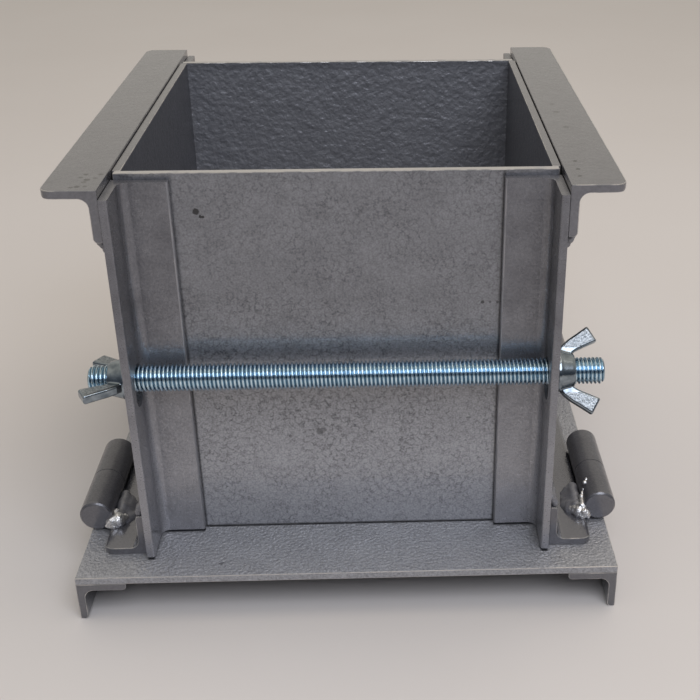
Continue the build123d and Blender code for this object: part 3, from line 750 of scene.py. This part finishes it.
masterNut = castNut()
for (end, side), turn in nutTurns.items():
    node = f"{end}_{side}_wing_nut"
    rodLow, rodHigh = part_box(end + "_rod")
    seatX = sides[side] * nutForm["seat"] * mm
    half = Matrix.Rotation(0 if side == "right" else math.pi, 4, "Z")
    lean = Matrix.Rotation(-math.radians(turn), 4, "X")
    where = Matrix.Translation((seatX, (rodLow.y + rodHigh.y) / 2, (rodLow.z + rodHigh.z) / 2))
    nut = bpy.data.objects.new(end + side.capitalize() + "WingNut", masterNut.data.copy())
    scene.collection.objects.link(nut)
    nut.data.transform(where @ lean @ half)
    smoothShade(nut, "turned")
    mount(nut, node, node)
bpy.data.objects.remove(masterNut)
print("wing nuts:", len(nutTurns))

# Welds: rows of overlapping drops run together, each row a little uneven.
beadForm = {"step": 1.7, "uneven": 0.16, "fatter": 0.6, "dropSteps": 3, "voxel": 0.32, "soften": 4,
            "softness": 0.5}
beadSeeds = {"left": {"handle": 26, "rail": 24, "foot": 60, "mound": 70, "bright": 80},
             "right": {"handle": 36, "rail": 34, "foot": 61, "mound": 71, "bright": 81}}


def dropRow(chance, start, finish, radius, lastRadius):
    start, finish = Vector(start), Vector(finish)
    uneven = beadForm["uneven"]
    count = max(2, round((finish - start).length / beadForm["step"]) + 1)
    drops = []
    for i in range(count):
        share = i / (count - 1)
        size = radius + (lastRadius - radius) * share
        wobble = Vector([chance.uniform(-1, 1) for axis in range(3)]) * size * uneven
        place = (start.lerp(finish, share) + wobble) * mm
        size *= chance.uniform(1 - uneven, 1 + uneven * beadForm["fatter"])
        bpy.ops.mesh.primitive_ico_sphere_add(subdivisions=beadForm["dropSteps"], radius=size * mm,
                                              location=place)
        bpy.ops.object.transform_apply(location=True)
        drops.append(bpy.context.object)
    return drops


def runBead(name, rows, seed, voxel=beadForm["voxel"], soften=beadForm["soften"]):
    clearSelection()
    chance = random.Random(seed)
    drops = []
    for start, finish, radius, lastRadius in rows:
        drops += dropRow(chance, start, finish, radius, lastRadius)
    bead = joinAll(name, drops)
    applyModifier(bead, "REMESH", mode="VOXEL", voxel_size=voxel * mm)
    applyModifier(bead, "SMOOTH", factor=beadForm["softness"], iterations=soften)
    smoothShade(bead, "bead")
    return bead


def levelRows(way, runs, places):  # rows along Y, one for each place on each run
    return [((way * out, y - run / 2, high), (way * out, y + run / 2, high), size, size)
            for y, run in runs for out, high, size in places]


beadPlaces = {
    # a run's middle along Y and its length
    "runs": ((-86.7, 13.0), (0.0, 24.0), (86.7, 13.0)),
    "footRuns": ((-73.0, 24.0), (0.0, 24.0), (73.0, 24.0)),
    # how far out each row is, its height and its size
    "handle": ((80.3, 150.8, 1.4), (79.5, 149.4, 1.6), (78.7, 147.8, 1.4)),
    "rail": ((80.3, 38.4, 1.4), (79.5, 39.8, 1.6), (78.7, 41.2, 1.4)),
    "foot": ((83.6, 16.3, 1.9),),
}
for side, way in sides.items():
    for place in ("handle", "rail"):
        rows = levelRows(way, beadPlaces["runs"], beadPlaces[place])
        bead = runBead(side + place.capitalize() + "Beads", rows, beadSeeds[side][place])
        dress(bead, "weldEnamel")
        mount(bead, side + "_wall", f"{side}_{place}_welds")
    rows = levelRows(way, beadPlaces["footRuns"], beadPlaces["foot"])
    bead = runBead(side + "FootBeads", rows, beadSeeds[side]["foot"])
    dress(bead, "weldEnamel")
    mount(bead, "base", side + "_foot_welds")

# Hinge welds: a painted mound from the rail's lip up the barrel, and the last bright run left bare.
socketWeld = {  # out from the middle, along from the barrels' split, height and size of each row's ends
    "split": 56.0,
    "mound": (((88.6, -9.5, 22.0, 1.7), (87.8, -19.0, 21.9, 2.1)),
              ((90.6, -8.0, 22.8, 2.2), (90.0, -20.5, 22.6, 2.6)),
              ((92.6, -7.0, 24.4, 2.4), (92.2, -21.0, 24.0, 2.7))),
    "bright": (((93.6, -20.5, 25.6, 1.7), (92.8, -24.0, 24.2, 2.8)),
               ((90.2, -21.6, 23.8, 1.8), (94.4, -24.4, 23.6, 2.4)),
               ((92.4, -24.6, 23.4, 1.8), (94.0, -25.6, 22.9, 1.5)),
               ((94.6, -24.8, 25.0, 1.9), (96.4, -25.0, 23.2, 1.4))),
    "streak": (((97.0, -12.4, 31.5, 0.9), (96.3, -14.0, 31.0, 1.1)),
               ((95.4, -16.4, 29.4, 0.7), (94.4, -19.0, 28.0, 1.0)),
               ((94.4, -19.0, 27.6, 1.1), (94.0, -23.0, 26.2, 1.7))),
    "streakSide": "right", "moundVoxel": 0.4, "moundSoften": 30,
    "crustSize": 0.9, "crustDepth": 0.5, "crustLevel": 0.5,
}
crust = bpy.data.textures.new("crust", "CLOUDS")
crust.noise_scale = socketWeld["crustSize"] * mm
for side, way in sides.items():
    mounds, brights = [], []
    for end, endWay in ends.items():
        split = endWay * socketWeld["split"]
        kinds = [("mound", mounds), ("bright", brights)]
        if side == socketWeld["streakSide"]:
            kinds.append(("streak", brights))
        for kind, rows in kinds:
            for (firstX, firstY, firstZ, firstSize), (lastX, lastY, lastZ, lastSize) in socketWeld[kind]:
                start = (way * firstX, split + firstY, firstZ)
                finish = (way * lastX, split + lastY, lastZ)
                rows.append((start, finish, firstSize, lastSize))
    mound = runBead(side + "SocketMounds", mounds, beadSeeds[side]["mound"],
                    socketWeld["moundVoxel"], socketWeld["moundSoften"])
    dress(mound, "weldEnamel")
    mount(mound, side + "_wall", side + "_socket_welds")
    bright = runBead(side + "SocketBrightRuns", brights, beadSeeds[side]["bright"])
    applyModifier(bright, "DISPLACE", texture=crust, texture_coords="LOCAL",
                  mid_level=socketWeld["crustLevel"], strength=socketWeld["crustDepth"] * mm)
    dress(bright, "bareWeld")
    mount(bright, side + "_wall", side + "_socket_welds")
    under = nodeCopy(side + "_hinge_base_welds", side + "HingeBeads")
    dress(under, "weldEnamel")
    smoothShade(under)
    mount(under, "base", side + "_hinge_base_welds")
for end, side in corners:  # the pins keep their CAD shape
    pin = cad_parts[f"{end}_{side}_hinge_pin"]
    pin.data.materials.clear()
    pin.data.materials.append(finishes["pinSteel"])
print("welds run")

# Floor: pale matt board, faintly cloudy.
floorLook = {"colour": "#d6d2d0", "cloud": "#cfcac7", "size": 30.0, "cloudSize": 220, "cloudDetail": 4,
             "roughness": 0.75}  # the board's own size is in metres
clearSelection()
bpy.ops.mesh.primitive_plane_add(size=floorLook["size"], location=(0, 0, 0))
floor = bpy.context.object
floor.name = "paleFloor"
material, tree, shader, where = newMaterial("paleBoard")
cloud = addNode(tree, "ShaderNodeTexNoise", {
    "Vector": where, "Scale": perMm(floorLook["cloudSize"]), "Detail": floorLook["cloudDetail"]})
tone = addNode(tree, "ShaderNodeMix", {
    0: cloud, 6: fromHex(floorLook["colour"]), 7: fromHex(floorLook["cloud"])}, data_type="RGBA")
tree.links.new(tone.outputs[2], shader.inputs["Base Color"])
shader.inputs["Roughness"].default_value = floorLook["roughness"]
floor.data.materials.append(material)

# Light: a broad warm lamp overhead, a smaller cool one over the viewer's right shoulder, and a room that
# is bright above and behind and dim behind the viewer, which gives the zinc something dark to mirror.
# Places and sizes are in metres.
lamps = {
    "overheadLamp": {"place": (0.28, 0.10, 1.4), "aim": (0, 0, 0.05), "size": (0.9, 0.9), "power": 3.8,
                     "colour": "#ffeedd"},
    "shoulderLamp": {"place": (0.27, -0.79, 1.01), "aim": (0, 0, 0.08), "size": (0.9, 0.7), "power": 8.0,
                     "colour": "#eef3ff"},
}
room = {"bright": "#fcf5e8", "dim": "#b9c6dc", "brightLevel": 0.64, "dimLevel": 0.14,
        "lean": (0, 0.40, 0.92), "span": (-0.25, 0.65)}
for lampName, lamp in lamps.items():
    clearSelection()
    bpy.ops.object.light_add(type="AREA", location=lamp["place"])
    light = bpy.context.object
    light.name = lampName
    light.rotation_euler = (Vector(lamp["aim"]) - Vector(lamp["place"])).to_track_quat("-Z", "Y").to_euler()
    light.data.shape = "RECTANGLE"
    light.data.size, light.data.size_y = lamp["size"]
    light.data.energy = lamp["power"]
    light.data.color = fromHex(lamp["colour"])[:3]
world = bpy.data.worlds.new("paleRoom")
scene.world = world
world.use_nodes = True
sky = world.node_tree
way = addNode(sky, "ShaderNodeTexCoord").outputs["Generated"]
lift = addNode(sky, "ShaderNodeVectorMath", {0: way, 1: room["lean"]}, operation="DOT_PRODUCT")
lift = lift.outputs["Value"]
level = addNode(sky, "ShaderNodeMapRange", {
    "Value": lift, fromSpan: room["span"], toSpan: (room["dimLevel"], room["brightLevel"])},
    interpolation_type="SMOOTHSTEP")
share = addNode(sky, "ShaderNodeMapRange", {"Value": lift, fromSpan: room["span"]})
tint = addNode(sky, "ShaderNodeMix", {
    0: share, 6: fromHex(room["dim"]), 7: fromHex(room["bright"])}, data_type="RGBA")
sky.links.new(tint.outputs[2], sky.nodes["Background"].inputs["Color"])
sky.links.new(level.outputs[0], sky.nodes["Background"].inputs["Strength"])

# Camera at the photograph's angle: measured from the object's straight edges.
view = {"eye": (16.77, -445.03, 298.31), "forward": (0.03284, 0.89134, -0.45215), "clip": 10.0,
        "right": (0.99934, -0.03643, 0.00076), "lens": 57.32, "shiftX": -0.1071, "shiftY": -0.0457}
forward = Vector(view["forward"]).normalized()
right = Vector(view["right"]).normalized()
up = right.cross(forward)
facing = Matrix((right, up, -forward)).transposed().to_4x4()
camera = bpy.data.objects.new("photoCamera", bpy.data.cameras.new("photoCamera"))
scene.collection.objects.link(camera)
camera.matrix_world = Matrix.Translation(Vector(view["eye"]) * mm) @ facing
camera.data.lens = view["lens"]
camera.data.shift_x = view["shiftX"]
camera.data.shift_y = view["shiftY"]
camera.data.clip_start = view["clip"] * mm
scene.camera = camera
scene.view_settings.view_transform = "Standard"
print("floor, lamps and camera set")

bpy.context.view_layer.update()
